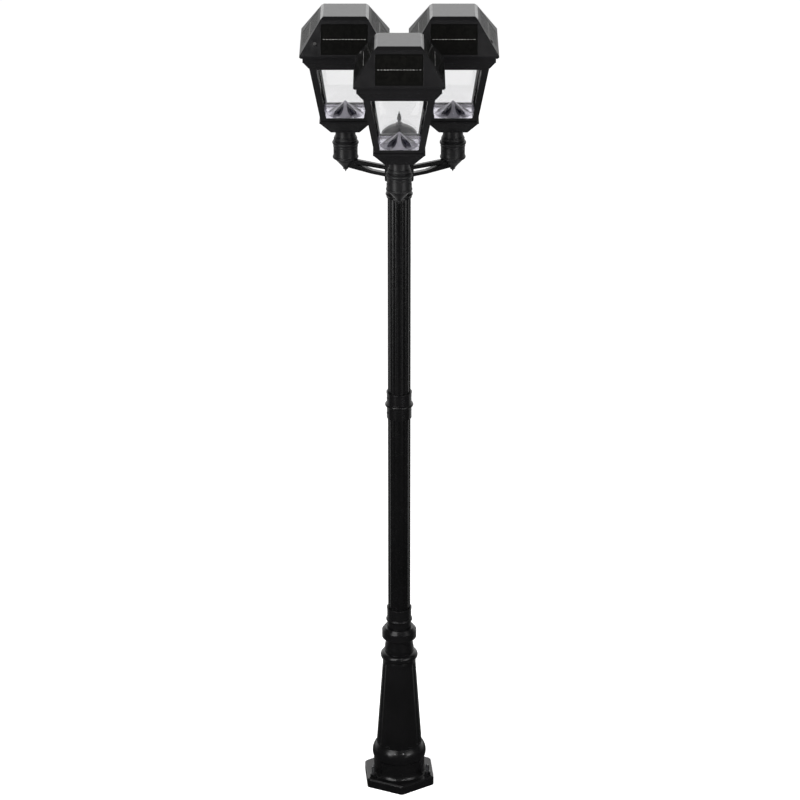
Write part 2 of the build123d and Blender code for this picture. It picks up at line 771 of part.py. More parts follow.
with BuildPart() as glass:
    add(glass_pair.part)
    with Locations(Location((0, 0, 0), (0, 0, 90))):
        add(glass_pair.part)

with BuildPart() as reflector_tray:
    tray_flare = FRAME_LEAN * (TRAY_TOP - LIP_TOP)
    loft([square(TRAY_HALF, LIP_TOP), square(TRAY_HALF + tray_flare, TRAY_TOP)], ruled=True)
    loft(
        [
            square(TRAY_HALF - TRAY_WALL, LIP_TOP + TRAY_WALL),
            square(TRAY_HALF - TRAY_WALL + tray_flare, TRAY_TOP),
        ],
        ruled=True,
        mode=Mode.SUBTRACT,
    )
    # ribs standing on the floor along the four walls
    for turn in range(4):
        with Locations(Location((0, 0, LIP_TOP + TRAY_WALL), (0, 0, 90 * turn))):
            with Locations((0, -TRAY_HALF + TRAY_WALL, 0)):
                with GridLocations(TRAY_RIB_PITCH, 1, TRAY_RIBS, 1):
                    Box(
                        TRAY_RIB_WIDTH,
                        2 * TRAY_RIB_PROUD,
                        TRAY_RIB_HIGH,
                        rotation=(math.degrees(math.atan(FRAME_LEAN)), 0, 0),
                        align=(Align.CENTER, Align.CENTER, Align.MIN),
                    )


def petal_ring(outer_r, fold_r, height):
    """A level outline of broad petals, with a sharp fold between each two and one petal in front."""
    corners = []
    for petal in range(PETALS):
        middle = -90 + 360 * petal / PETALS
        for step in range(PETAL_STEPS + 1):
            angle = math.radians(middle - PETAL_SPAN / 2 + PETAL_SPAN * step / PETAL_STEPS)
            corners.append((outer_r * math.cos(angle), outer_r * math.sin(angle)))
        fold = math.radians(middle + 180 / PETALS)
        corners.append((fold_r * math.cos(fold), fold_r * math.sin(fold)))
    with BuildSketch(Plane.XY.offset(height)) as star:
        Polygon(*corners, align=None)
    return star.sketch


with BuildPart() as reflector:
    tip_fold_r = REFLECTOR_TIP_R * REFLECTOR_FOLD_R / REFLECTOR_R
    loft(
        [
            petal_ring(REFLECTOR_R, REFLECTOR_FOLD_R, LIP_TOP + TRAY_WALL),
            petal_ring(REFLECTOR_TIP_R, tip_fold_r, REFLECTOR_TOP),
        ],
        ruled=True,
    )

with BuildPart() as cornice:
    loft([square(SLANT_LOW_HALF, FRAME_TOP), square(SLANT_HIGH_HALF, FASCIA_LOW)], ruled=True)
    with BuildSketch(Plane.XY.offset(FASCIA_LOW)):
        Rectangle(2 * FASCIA_HALF, 2 * FASCIA_HALF)
    extrude(amount=CORNICE_TOP - FASCIA_LOW)
    # the ledge that the roof's lip rests on
    with BuildSketch(Plane.XY.offset(CORNICE_TOP - ROOF_SEAT_THICK)):
        Rectangle(2 * ROOF_SEAT_HALF, 2 * ROOF_SEAT_HALF)
    extrude(amount=ROOF_SEAT_THICK)
    loft(
        [square(CORNICE_INNER_HALF, FRAME_TOP), square(CORNICE_MOUTH_HALF, CORNICE_MOUTH_Z)],
        ruled=True,
        mode=Mode.SUBTRACT,
    )
    with BuildSketch(Plane.XY.offset(CORNICE_MOUTH_Z)):
        Rectangle(2 * CORNICE_MOUTH_HALF, 2 * CORNICE_MOUTH_HALF)
    extrude(amount=CORNICE_TOP - CORNICE_MOUTH_Z, mode=Mode.SUBTRACT)

# ---------------------------------------------------------------- roof of the lantern


def roof_inner_half(height):
    """Half the roof's inside width at a height above the eave's lip."""
    return EAVE_HALF - ROOF_WALL - SLOPE_LEAN * (height - EAVE_Z - EAVE_LIP)


panel_planes = [slope_plane(90 * face, PANEL_UP_SLOPE) for face in range(4)]
button_plane = slope_plane(0, BUTTON_UP_SLOPE, BUTTON_SIDE)

with BuildPart() as roof:
    with BuildSketch(Plane.XY.offset(EAVE_Z)):
        Rectangle(2 * EAVE_HALF, 2 * EAVE_HALF)
    extrude(amount=EAVE_LIP)
    loft([square(EAVE_HALF, EAVE_Z + EAVE_LIP), square(ROOF_TOP_HALF, ROOF_TOP)], ruled=True)
    with BuildSketch(Plane.XY.offset(ROOF_TOP - TOP_PLATE_EDGE)):
        Rectangle(2 * TOP_PLATE_HALF, 2 * TOP_PLATE_HALF)
    extrude(amount=TOP_PLATE_EDGE)
    loft(
        [square(TOP_PLATE_HALF, ROOF_TOP), square(TOP_PLATE_HALF - TOP_PLATE_BEVEL, TOP_PLATE_HIGH)],
        ruled=True,
    )
    with BuildSketch(Plane.XY.offset(EAVE_Z)):
        Rectangle(2 * (EAVE_HALF - ROOF_WALL), 2 * (EAVE_HALF - ROOF_WALL))
    extrude(amount=EAVE_LIP, mode=Mode.SUBTRACT)
    loft(
        [
            square(EAVE_HALF - ROOF_WALL, EAVE_Z + EAVE_LIP),
            square(roof_inner_half(ROOF_CEILING), ROOF_CEILING),
        ],
        ruled=True,
        mode=Mode.SUBTRACT,
    )
    with BuildSketch(*panel_planes):
        Rectangle(PANEL_WIDE + 2 * PANEL_MARGIN, PANEL_LONG + 2 * PANEL_MARGIN)
    extrude(amount=-PANEL_POCKET, mode=Mode.SUBTRACT)
    with BuildSketch(button_plane):
        Circle(BEZEL_R)
    extrude(amount=BEZEL_PROUD)
    with BuildSketch(button_plane.offset(BEZEL_PROUD)):
        Circle(BUTTON_HOLE_R)
    extrude(amount=-3 * ROOF_WALL, mode=Mode.SUBTRACT)

with BuildPart() as solar_panels:
    with BuildSketch(*[plane.offset(-PANEL_POCKET) for plane in panel_planes]):
        Rectangle(PANEL_WIDE, PANEL_LONG)
    extrude(amount=PANEL_THICK)

with BuildPart() as power_button:
    with BuildSketch(button_plane.offset(BUTTON_PROUD)):
        Circle(BUTTON_R)
    extrude(amount=-(BUTTON_PROUD + BUTTON_SEAT))
    fillet(power_button.edges().sort_by(Axis.Z)[-1], BUTTON_EDGE)
    with BuildSketch(button_plane.offset(-BUTTON_SEAT)):
        Circle(BUTTON_FLANGE_R)
    extrude(amount=-BUTTON_FLANGE_THICK)
    with BuildSketch(button_plane.offset(-BUTTON_SEAT - BUTTON_FLANGE_THICK)):
        Circle(BUTTON_STEM_R)
    extrude(amount=-(BUTTON_STEM_END - BUTTON_SEAT - BUTTON_FLANGE_THICK))

with BuildPart() as lamp_tray:
    loft(
        [
            square(roof_inner_half(LAMP_TRAY_Z), LAMP_TRAY_Z),
            square(roof_inner_half(LAMP_TRAY_TOP), LAMP_TRAY_TOP),
        ],
        ruled=True,
    )
    # the block that carries the switch behind the power button
    with Locations((BUTTON_SIDE, SWITCH_FACE_Y, LAMP_TRAY_TOP)):
        Box(*SWITCH_BLOCK, align=(Align.CENTER, Align.MIN, Align.MIN))

with BuildPart() as battery_pack:
    with BuildSketch(Plane.XY.offset(LAMP_TRAY_TOP)):
        RectangleRounded(BATTERY[0], BATTERY[1], BATTERY_EDGE)
    extrude(amount=BATTERY[2])

with BuildPart() as led_module:
    with BuildSketch(Plane.XY.offset(LED_HOUSING_Z)):
        Circle(LED_HOUSING_R)
    extrude(amount=LAMP_TRAY_Z - LED_HOUSING_Z)
    with BuildSketch(Plane.XY.offset(LED_LENS_Z)):
        Circle(LED_LENS_R)
    extrude(amount=LED_HOUSING_Z - LED_LENS_Z)
    fillet(led_module.edges().sort_by(Axis.Z)[0], LED_LENS_EDGE)

LANTERN_PIECES = {
    "fitter": fitter,
    "base_pan": base_pan,
    "window_frame": window_frame,
    "glass": glass,
    "reflector_tray": reflector_tray,
    "reflector": reflector,
    "cornice": cornice,
}

# these turn with the face that carries the button
ROOF_PIECES = {
    "roof": roof,
    "solar_panels": solar_panels,
    "power_button": power_button,
    "lamp_tray": lamp_tray,
    "battery_pack": battery_pack,
    "led_module": led_module,
}

for head, heading in HEADS.items():
    spot = (*head_spot(heading), ARM_LEVEL)
    for piece, source in LANTERN_PIECES.items():
        write_at(source, f"{piece}_{head}", Location(spot))
    for piece, source in ROOF_PIECES.items():
        write_at(source, f"{piece}_{head}", Location(spot, (0, 0, ROOF_TURNS[head])))
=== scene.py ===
"""Triple head lamp post: finishes, fine pieces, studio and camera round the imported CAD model.

Metres, +Z up, the ground at z 0, the front lantern towards -Y.
"""

import math

import bpy
from mathutils import Matrix, Vector


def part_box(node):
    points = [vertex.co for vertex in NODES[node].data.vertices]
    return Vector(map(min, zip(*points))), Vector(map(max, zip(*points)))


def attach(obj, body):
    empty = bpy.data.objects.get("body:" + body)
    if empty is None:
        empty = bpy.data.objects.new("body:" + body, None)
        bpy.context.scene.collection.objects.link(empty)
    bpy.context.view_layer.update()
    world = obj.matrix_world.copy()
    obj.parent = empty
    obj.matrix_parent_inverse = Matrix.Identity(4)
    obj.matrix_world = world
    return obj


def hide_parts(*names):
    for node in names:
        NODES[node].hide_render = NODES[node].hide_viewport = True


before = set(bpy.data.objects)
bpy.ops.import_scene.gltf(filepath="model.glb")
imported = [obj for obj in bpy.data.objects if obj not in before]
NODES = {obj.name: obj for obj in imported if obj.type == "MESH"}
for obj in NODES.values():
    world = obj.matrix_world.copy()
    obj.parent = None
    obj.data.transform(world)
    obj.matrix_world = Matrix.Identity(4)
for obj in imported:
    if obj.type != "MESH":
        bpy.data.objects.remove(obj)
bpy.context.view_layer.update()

MM = 0.001
HEAD_NAMES = ("front", "left", "right")

# The roof's slope and its solar panels, as the CAD has them. The roof's heights are above ARM_LEVEL. The
# middle of a panel is PANEL_UP_SLOPE from the eave, along the slope, and its face is sunk in the roof's.
ROOF_SIDES = 4
ARM_LEVEL = 2.040
EAVE_HALF = 131 * MM
EAVE_TOP = 375 * MM
PLATE_HALF = 70 * MM
PLATE_LOW = 466 * MM
PANEL_WIDE = 136 * MM
PANEL_HIGH = 91 * MM
PANEL_UP_SLOPE = 51 * MM
PANEL_FACE = -0.4 * MM

# Solar cells: two rows with a soldered ribbon between them, in uneven dashes.
CELL_COLUMNS = 6
CELL_GAP = 0.7 * MM
CELL_MARGIN = 4 * MM
CELLS_WIDE = PANEL_WIDE - 2 * CELL_MARGIN
CELL_THICK = 0.12 * MM
CELL_CORNER = 2.2 * MM
FINGERS = 7
FINGER_WIDE = 0.16 * MM
FINGER_TOP = 1.25 * CELL_THICK
RIBBON_GAP = 3.2 * MM
RIBBON_WIDE = 1.3 * MM
RIBBON_THICK = 2 * CELL_THICK
RIBBON_DASHES = 14
RIBBON_DASH_FILLS = (0.62, 0.5, 0.7, 0.56, 0.66, 0.46, 0.6)

# Reflector: five broad petals folded round a point. A ring's relief scales its creases: it is
# RELIEF_LEAST at the foot and at the tip, and 1 about half-way up.
PETALS = 5
PETAL_STEPS = 40
REFLECTOR_RINGS = 32
REFLECTOR_RADIUS = 55.5 * MM
REFLECTOR_TIP_RADIUS = 2.2 * MM
REFLECTOR_HOLLOW = 1.12
RELIEF_LEAST = 0.3
RELIEF_RISE = 1.05
CREASE_SHARPNESS = 5
CREASE_DEPTH = 0.36
PETAL_CROWN = 0.05
PETAL_SHARP = math.radians(50)

# The painted shade in the petals' folds: where it starts from a petal's middle (0) to its crease (1), how
# far it spreads with the relief, how soft its edge is, and the relief at which it fades.
FOLD_START = 0.9
FOLD_SPREAD = 0.55
FOLD_EDGE = 0.08
FOLD_FADE = 0.35

# Anchor bolts: studs with rolled threads, and hexagon nuts whose ends a cone cuts.
WASHER_REACH = 40 * MM
STUD_RADIUS = 5.95 * MM
STUD_END_HIGH = 1.4 * MM
STUD_END_DEEP = 1.2 * MM
STUD_SHARP = math.radians(50)
THREAD_PITCH = 1.75 * MM
THREAD_DEPTH = 0.9 * MM
THREAD_STEPS = 20
RINGS_PER_THREAD = 6
NUT_FLATS = 9.4 * MM
NUT_BORE_RADIUS = 6.05 * MM
NUT_STEPS = 72
NUT_LEVELS = (0.0, 0.04, 0.1, 0.17, 0.83, 0.9, 0.96, 1.0)
NUT_CONE_START = 0.99
NUT_CONE_SLOPE = 1.75
NUT_SHARP = math.radians(40)
HEXAGON_HALF = math.radians(30)

# Noise in the finishes, as (scale per metre, detail).
COAT_TONES = (9, 4)
COAT_SHEEN = (60, 3)
CAST_GRAIN = (380, 2)
ORANGE_PEEL = (520, 2)
DRAW_LINES = (420, 2)
METAL_SPECKS = (900, 4)
SOLDER_SPECKS = (90, 4)
METAL_SHEEN = (300, 3)
METAL_SCRATCHES = (1500, 2)
PANE_SMEARS = (14, 4)
SILVER_TONES = (70, 3)
SILVER_SHEEN = (160, 3)
SILVER_RIPPLE = (260, 2)
LAMINATE_TONES = (700, 2)
LAMINATE_SHEEN = (40, 3)
SILICON_CRYSTALS = 110
SILICON_SHEEN = (90, 2)
PLASTIC_TONES = (40, 3)
PLASTIC_SHEEN = (200, 2)
PLASTIC_SPARK = (900, 2)
LENS_SHEEN = (220, 2)
LENS_RIPPLE = (500, 2)
NOISE_MIDDLE = (0.3, 0.7)

# Noise stretched along Z, for lines that run up the post or up a screw.
EVEN = (1, 1, 1)
ALONG_POST = (1, 1, 0.02)
ALONG_SCREW = (1, 1, 0.2)

# Depths of the finishes' relief, and the rounding of edges.
SCRATCH_DEPTH = 0.012 * MM
SILVER_DEPTH = 0.01 * MM
SPARK_DEPTH = 0.03 * MM
LENS_DEPTH = 0.02 * MM
COAT_EDGE = 1.6 * MM
METAL_EDGE = 0.4 * MM
SOLDER_EDGE = 0.05 * MM
LAMINATE_EDGE = 0.4 * MM
PLASTIC_EDGE = 0.5 * MM
EDGE_SAMPLES = 6

# Gloss of the finishes. A range is how far a noise takes the roughness down and up from its plain level.
COAT_IOR = 1.3
PANE_IOR = 1.45
PANEL_IOR = 1.2
PLASTIC_IOR = 1.4
LENS_IOR = 1.49
COAT_ROUGHNESS_RANGE = (-0.03, 0.05)
METAL_ROUGHNESS_RANGE = (-0.08, 0.1)
PLASTIC_ROUGHNESS_RANGE = (-0.06, 0.08)
PANEL_ROUGHNESS = 0.1
PANEL_ROUGHNESS_RANGE = (-0.03, 0.03)
PANE_ROUGHNESS_RANGE = (0.0, 0.01)
SILVER_ROUGHNESS = 0.22
SILVER_ROUGHNESS_RANGE = (-0.04, 0.06)
LENS_ROUGHNESS = 0.18
LENS_ROUGHNESS_RANGE = (-0.04, 0.12)
LENS_CLEAR = 0.85

# Colours. A triple is a finish's dark, plain and light tone.
WHITE = (1, 1, 1)
COAT_DARK_CAST = (1, 1, 1.06)
COAT_LIGHT_CAST = (1, 0.97, 1.04)
SILVER = ((0.58, 0.56, 0.64), (0.62, 0.60, 0.68), (0.74, 0.72, 0.79))
# Painted shade: the dark navy laid into the silver along the petals' folds.
SILVER_FOLD_SHADE = (0.006, 0.005, 0.018)
BACK_SHEET = ((0.002, 0.002, 0.002), (0.003, 0.003, 0.003), (0.0045, 0.0045, 0.004))
CRYSTAL = ((0.003, 0.003, 0.0028), (0.004, 0.004, 0.0038), (0.005, 0.005, 0.0045))
LENS_COLOUR = (0.92, 0.93, 0.9)
PANE_COLOUR = (0.985, 0.985, 0.985)
PANE_TINT = (0.94, 0.94, 0.942)

# The share of what is behind a pane that comes through it unbent.
THIN_PANE = 0.9

# World: its plain level on the object, and the level that gloss sees in front and behind, which change over
# a range of the direction's Y.
PLAIN_LIGHT = 0.42
FRONT_GLOSS = 0.10
BEHIND_GLOSS = 1.9
WORLD_CHANGE = (0.3, 0.85)

# Floor: its colour, the colour that gloss sees in front of the object, which changes over a range of Y, and
# the light that lifts it to white for the camera.
FLOOR_HALF = 60
FLOOR_ROUGHNESS = 0.9
FLOOR_PALE = 0.9
FLOOR_FRONT_GLOSS = 0.06
FLOOR_CHANGE = (0.2, 1.6)
FLOOR_LIFT = 0.6

# Soft square lights: name, place, aim, width, and the level that each adds on a surface that faces it there.
BODY_MIDDLE = (0, 0, 1.4)
LANTERN_FEET = (0, 0, 2.1)
CUPS = (0, 0, 2.0)
PEDESTAL_NECK = (0, 0, 0.5)
SOFT_LIGHTS = (
    ("key_light", (-3.2, -4.2, 4.6), BODY_MIDDLE, 3.4, 0.55),
    ("fill_light", (4.2, -3.4, 3.2), BODY_MIDDLE, 3.2, 0.22),
    ("top_light_left", (-1.3, -2.6, 6.2), BODY_MIDDLE, 0.9, 0.02),
    ("top_light_right", (1.3, -2.6, 6.2), BODY_MIDDLE, 0.9, 0.02),
    ("spark_light_left", (-1.0, -3.4, 6.2), BODY_MIDDLE, 0.35, 0.03),
    ("front_spark_left", (-1.5, -4.0, 2.7), LANTERN_FEET, 0.32, 0.16),
    ("front_spark_right", (1.3, -4.0, 2.7), LANTERN_FEET, 0.32, 0.16),
    ("low_spark_left", (-1.7, -2.2, 0.4), PEDESTAL_NECK, 0.4, 0.015),
    ("low_spark_right", (1.3, -2.3, 0.4), PEDESTAL_NECK, 0.4, 0.015),
    ("side_strip_left", (-2.0, -2.2, 1.3), CUPS, 0.9, 0.32),
    ("side_strip_right", (2.0, -2.2, 1.3), CUPS, 0.9, 0.18),
    ("spark_light_right", (1.0, -3.4, 6.2), BODY_MIDDLE, 0.35, 0.03),
)

# Camera: the photograph's high view, fitted on the object's own levels.
CAMERA_PLACE = (0.0, -10.0, 5.731)
CAMERA_PITCH = math.radians(23.858)
CAMERA_REACH = 200
LENS = 162.16
SENSOR = 36
AXIS_SHIFT = 0.001


# ---------------------------------------------------------------- node helpers

def add(tree, kind, inputs=None, **settings):
    """Adds one shader node; an input is a value or another node's output socket."""
    node = tree.nodes.new(kind)
    for key, value in settings.items():
        setattr(node, key, value)
    for key, value in (inputs or {}).items():
        if isinstance(value, bpy.types.NodeSocket):
            tree.links.new(value, node.inputs[key])
        else:
            node.inputs[key].default_value = value
    return node


def new_material(name, base, roughness, **sockets):
    """A material with its Principled shader's own sockets set; returns it with its tree and shader."""
    made = bpy.data.materials.new(name)
    made.use_nodes = True
    tree = made.node_tree
    shader = tree.nodes["Principled BSDF"]
    shader.inputs["Base Color"].default_value = (*base, 1)
    shader.inputs["Roughness"].default_value = roughness
    for key, value in sockets.items():
        shader.inputs[key.replace("_", " ")].default_value = value
    return made, tree, shader


def place(tree, stretch=EVEN):
    """The object's own coordinates in metres, stretched along the axes."""
    coordinates = add(tree, "ShaderNodeTexCoord")
    mapping = add(tree, "ShaderNodeMapping", {"Vector": coordinates.outputs["Object"], "Scale": stretch})
    return mapping.outputs["Vector"]


def noise(tree, grain, stretch=EVEN):
    """A noise of the given (scale, detail)."""
    scale, detail = grain
    made = add(tree, "ShaderNodeTexNoise",
               {"Vector": place(tree, stretch), "Scale": scale, "Detail": detail})
    return made.outputs["Fac"]


def spread(tree, value, low, high, source=NOISE_MIDDLE):
    """Maps a value's source range, which is a noise's middle one if not given, onto low..high."""
    made = add(tree, "ShaderNodeMapRange", {"Value": value, "From Min": source[0], "From Max": source[1],
                                            "To Min": low, "To Max": high})
    return made.outputs["Result"]


def level_between(tree, factor, first, second):
    """A number between two, by a factor."""
    made = add(tree, "ShaderNodeMix", {"Factor": factor, "A": first, "B": second})
    return made.outputs["Result"]


def tone_between(tree, factor, first, second):
    """A colour between two, by a factor. Each is a colour or another node's output."""
    ends = [end if isinstance(end, bpy.types.NodeSocket) else (*end, 1) for end in (first, second)]
    made = add(tree, "ShaderNodeMix", {"Factor": factor, "A": ends[0], "B": ends[1]}, data_type="RGBA")
    return made.outputs["Result"]


def larger(tree, first, second):
    """The larger of two numbers."""
    return add(tree, "ShaderNodeMath", {0: first, 1: second}, operation="MAXIMUM").outputs[0]


def seen(tree, path):
    """1 for what the camera sees, straight or through glass."""
    return larger(tree, path.outputs["Is Camera Ray"], path.outputs["Is Transmission Ray"])


def bump(tree, height, depth, under=None):
    """A bump of the given depth in metres, on top of an earlier normal."""
    made = add(tree, "ShaderNodeBump", {"Height": height, "Strength": 1.0, "Distance": depth})
    if under is not None:
        tree.links.new(under, made.inputs["Normal"])
    return made.outputs["Normal"]


def round_edges(tree, radius):
    """A normal that rounds the edges by the given radius."""
    return add(tree, "ShaderNodeBevel", {"Radius": radius}, samples=EDGE_SAMPLES).outputs["Normal"]


def vary_tone(tree, shader, grain, dark, light):
    """Lets the base colour wander between two tones."""
    wander = spread(tree, noise(tree, grain), 0, 1)
    tree.links.new(tone_between(tree, wander, dark, light), shader.inputs["Base Color"])


def vary_sheen(tree, shader, grain, reach):
    """Lets the roughness wander down and up from its plain level."""
    plain = shader.inputs["Roughness"].default_value
    wander = spread(tree, noise(tree, grain), plain + reach[0], plain + reach[1])
    tree.links.new(wander, shader.inputs["Roughness"])


# ---------------------------------------------------------------- materials

def powder_coat(name, dark, light, depth, roughness, grain=ORANGE_PEEL, draw=0.0):
    """Black satin powder coat: orange peel, and the cast grain or the draw lines of what is under it."""
    made, tree, shader = new_material(name, (light,) * 3, roughness, IOR=COAT_IOR)
    vary_tone(tree, shader, COAT_TONES, [dark * share for share in COAT_DARK_CAST],
              [light * share for share in COAT_LIGHT_CAST])
    vary_sheen(tree, shader, COAT_SHEEN, COAT_ROUGHNESS_RANGE)
    normal = bump(tree, noise(tree, grain), depth, round_edges(tree, COAT_EDGE))
    if draw:
        normal = bump(tree, noise(tree, DRAW_LINES, ALONG_POST), draw, normal)
    tree.links.new(normal, shader.inputs["Normal"])
    return made


def metal(name, dark, light, roughness, edge=METAL_EDGE, specks=METAL_SPECKS):
    """Plated steel: mottled colour, fine scratches and rounded edges."""
    made, tree, shader = new_material(name, light, roughness, Metallic=1.0)
    vary_tone(tree, shader, specks, dark, light)
    vary_sheen(tree, shader, METAL_SHEEN, METAL_ROUGHNESS_RANGE)
    scratches = noise(tree, METAL_SCRATCHES, ALONG_SCREW)
    tree.links.new(bump(tree, scratches, SCRATCH_DEPTH, round_edges(tree, edge)), shader.inputs["Normal"])
    return made


def clear_glass():
    """Clear panes with faint smears; light and shadow pass straight through."""
    made, tree, shader = new_material("clear_glass", PANE_COLOUR, 0.0, IOR=PANE_IOR,
                                      Transmission_Weight=1.0)
    vary_sheen(tree, shader, PANE_SMEARS, PANE_ROUGHNESS_RANGE)
    path = add(tree, "ShaderNodeLightPath")
    lighting = larger(tree, path.outputs["Is Shadow Ray"], path.outputs["Is Diffuse Ray"])
    through = add(tree, "ShaderNodeBsdfTransparent", {"Color": (*PANE_TINT, 1)})
    mixed = add(tree, "ShaderNodeMixShader", {0: larger(tree, lighting, THIN_PANE),
                                              1: shader.outputs[0], 2: through.outputs[0]})
    tree.links.new(mixed.outputs[0], tree.nodes["Material Output"].inputs["Surface"])
    return made


def reflector_silver(name, metallic, painted_fold_shade=False):
    """Vacuum-metallised plastic with a cool cast, and painted shade in its folds."""
    dark, plain, light = SILVER
    made, tree, shader = new_material(name, plain, SILVER_ROUGHNESS, Metallic=metallic)
    silver = tone_between(tree, spread(tree, noise(tree, SILVER_TONES), 0, 1), dark, light)
    if painted_fold_shade:
        # Painted shade: the silver goes to a dark navy along the folds, by how much shade each point keeps.
        fold = add(tree, "ShaderNodeAttribute", attribute_name="fold")
        silver = tone_between(tree, fold.outputs["Fac"], silver, SILVER_FOLD_SHADE)
    tree.links.new(silver, shader.inputs["Base Color"])
    vary_sheen(tree, shader, SILVER_SHEEN, SILVER_ROUGHNESS_RANGE)
    tree.links.new(bump(tree, noise(tree, SILVER_RIPPLE), SILVER_DEPTH), shader.inputs["Normal"])
    return made


def panel_laminate():
    """The black back sheet under the panel's clear laminate."""
    dark, plain, light = BACK_SHEET
    made, tree, shader = new_material("panel_laminate", plain, PANEL_ROUGHNESS, IOR=PANEL_IOR)
    vary_tone(tree, shader, LAMINATE_TONES, dark, light)
    vary_sheen(tree, shader, LAMINATE_SHEEN, PANEL_ROUGHNESS_RANGE)
    tree.links.new(round_edges(tree, LAMINATE_EDGE), shader.inputs["Normal"])
    return made


def solar_silicon():
    """Dark silicon under the laminate, in crystals that differ a little."""
    dark, plain, light = CRYSTAL
    made, tree, shader = new_material("solar_silicon", plain, PANEL_ROUGHNESS, IOR=PANEL_IOR)
    crystal = add(tree, "ShaderNodeTexVoronoi", {"Vector": place(tree), "Scale": SILICON_CRYSTALS})
    shade = add(tree, "ShaderNodeSeparateColor", {"Color": crystal.outputs["Color"]})
    tree.links.new(tone_between(tree, shade.outputs["Red"], dark, light), shader.inputs["Base Color"])
    vary_sheen(tree, shader, SILICON_SHEEN, PANEL_ROUGHNESS_RANGE)
    return made


def matt_plastic(name, dark, light, roughness):
    """Moulded plastic or rubber with a fine spark texture."""
    made, tree, shader = new_material(name, light, roughness, IOR=PLASTIC_IOR)
    vary_tone(tree, shader, PLASTIC_TONES, dark, light)
    vary_sheen(tree, shader, PLASTIC_SHEEN, PLASTIC_ROUGHNESS_RANGE)
    spark = bump(tree, noise(tree, PLASTIC_SPARK), SPARK_DEPTH, round_edges(tree, PLASTIC_EDGE))
    tree.links.new(spark, shader.inputs["Normal"])
    return made


def lens_plastic():
    """Frosted lens over the light source."""
    made, tree, shader = new_material("lens_plastic", LENS_COLOUR, LENS_ROUGHNESS, IOR=LENS_IOR,
                                      Transmission_Weight=LENS_CLEAR)
    vary_sheen(tree, shader, LENS_SHEEN, LENS_ROUGHNESS_RANGE)
    tree.links.new(bump(tree, noise(tree, LENS_RIPPLE), LENS_DEPTH), shader.inputs["Normal"])
    return made


CAST_COAT = powder_coat("cast_coat", dark=0.0024, light=0.0042, depth=0.012 * MM, roughness=0.22,
                        grain=CAST_GRAIN)
SATIN_COAT = powder_coat("satin_coat", dark=0.0055, light=0.008, depth=0.003 * MM, roughness=0.37)
SHEET_COAT = powder_coat("sheet_coat", dark=0.0062, light=0.009, depth=0.0015 * MM, roughness=0.17)
TUBE_COAT = powder_coat("tube_coat", dark=0.0014, light=0.0026, depth=0.002 * MM, roughness=0.24,
                        draw=0.003 * MM)
DARK_ZINC = metal("dark_zinc", (0.02, 0.02, 0.021), (0.05, 0.05, 0.052), roughness=0.34)
BLACK_STEEL = metal("black_steel", (0.03, 0.03, 0.032), (0.06, 0.06, 0.063), roughness=0.3)
GLASS = clear_glass()
TRAY_SILVER = reflector_silver("tray_silver", metallic=0.8)
PETAL_SILVER = reflector_silver("petal_silver", metallic=0.55, painted_fold_shade=True)
LAMINATE = panel_laminate()
SILICON = solar_silicon()
RIBBON = metal("tinned_ribbon", (0.25, 0.25, 0.25), (0.8, 0.8, 0.78), roughness=0.45,
               edge=SOLDER_EDGE, specks=SOLDER_SPECKS)
RUBBER = matt_plastic("button_rubber", (0.035, 0.034, 0.034), (0.06, 0.058, 0.057), roughness=0.5)
BLACK_PLASTIC = matt_plastic("black_plastic", (0.010, 0.010, 0.011), (0.020, 0.020, 0.021), roughness=0.55)
LENS_PLASTIC = lens_plastic()

NODE_FINISH = {
    "pedestal": CAST_COAT,
    "anchor_studs": DARK_ZINC,
    "anchor_washers": DARK_ZINC,
    "anchor_nuts": DARK_ZINC,
    "base_collar": CAST_COAT,
    "lower_post": TUBE_COAT,
    "upper_post": TUBE_COAT,
    "coupling_sleeve": TUBE_COAT,
    "coupling": CAST_COAT,
    "post_set_screws": BLACK_STEEL,
    "arm_screws": BLACK_STEEL,
    "cup_screws": BLACK_STEEL,
    "hub_body": CAST_COAT,
    "dome_cap": SATIN_COAT,
    "finial": SATIN_COAT,
}
HEAD_FINISH = {
    "arm": CAST_COAT,
    "cup": SATIN_COAT,
    "fitter": SATIN_COAT,
    "base_pan": SHEET_COAT,
    "window_frame": SHEET_COAT,
    "glass": GLASS,
    "reflector_tray": TRAY_SILVER,
    "reflector": PETAL_SILVER,
    "cornice": SHEET_COAT,
    "roof": SHEET_COAT,
    "solar_panels": LAMINATE,
    "power_button": RUBBER,
    "lamp_tray": BLACK_PLASTIC,
    "battery_pack": BLACK_PLASTIC,
    "led_module": LENS_PLASTIC,
}


def finish_of(node):
    """The finish of a CAD node, found by its name, or by its name without the head that it ends with."""
    if node in NODE_FINISH:
        return NODE_FINISH[node]
    return HEAD_FINISH[node.rsplit("_", 1)[0]]


def dress_nodes():
    """Gives each CAD node its finish."""
    for name, node in NODES.items():
        node.data.materials.clear()
        node.data.materials.append(finish_of(name))


# ---------------------------------------------------------------- mesh helpers

def put_in_scene(thing):
    """Links an object to the scene."""
    bpy.context.scene.collection.objects.link(thing)


def new_piece(name, points, faces, finish, body, sharp=None):
    """A mesh piece in the frame's own place, riding on a body. Edges under the sharp angle are smoothed."""
    mesh = bpy.data.meshes.new(name)
    mesh.from_pydata([tuple(point) for point in points], [], faces)
    mesh.materials.append(finish)
    if sharp is not None:
        mesh.polygons.foreach_set("use_smooth", [True] * len(mesh.polygons))
        mesh.set_sharp_from_angle(angle=sharp)
    piece = bpy.data.objects.new(name, mesh)
    put_in_scene(piece)
    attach(piece, body)
    return piece


def polar(centre_x, centre_y, reach, angle, height):
    """A point round an upright axis."""
    return (centre_x + reach * math.cos(angle), centre_y + reach * math.sin(angle), height)


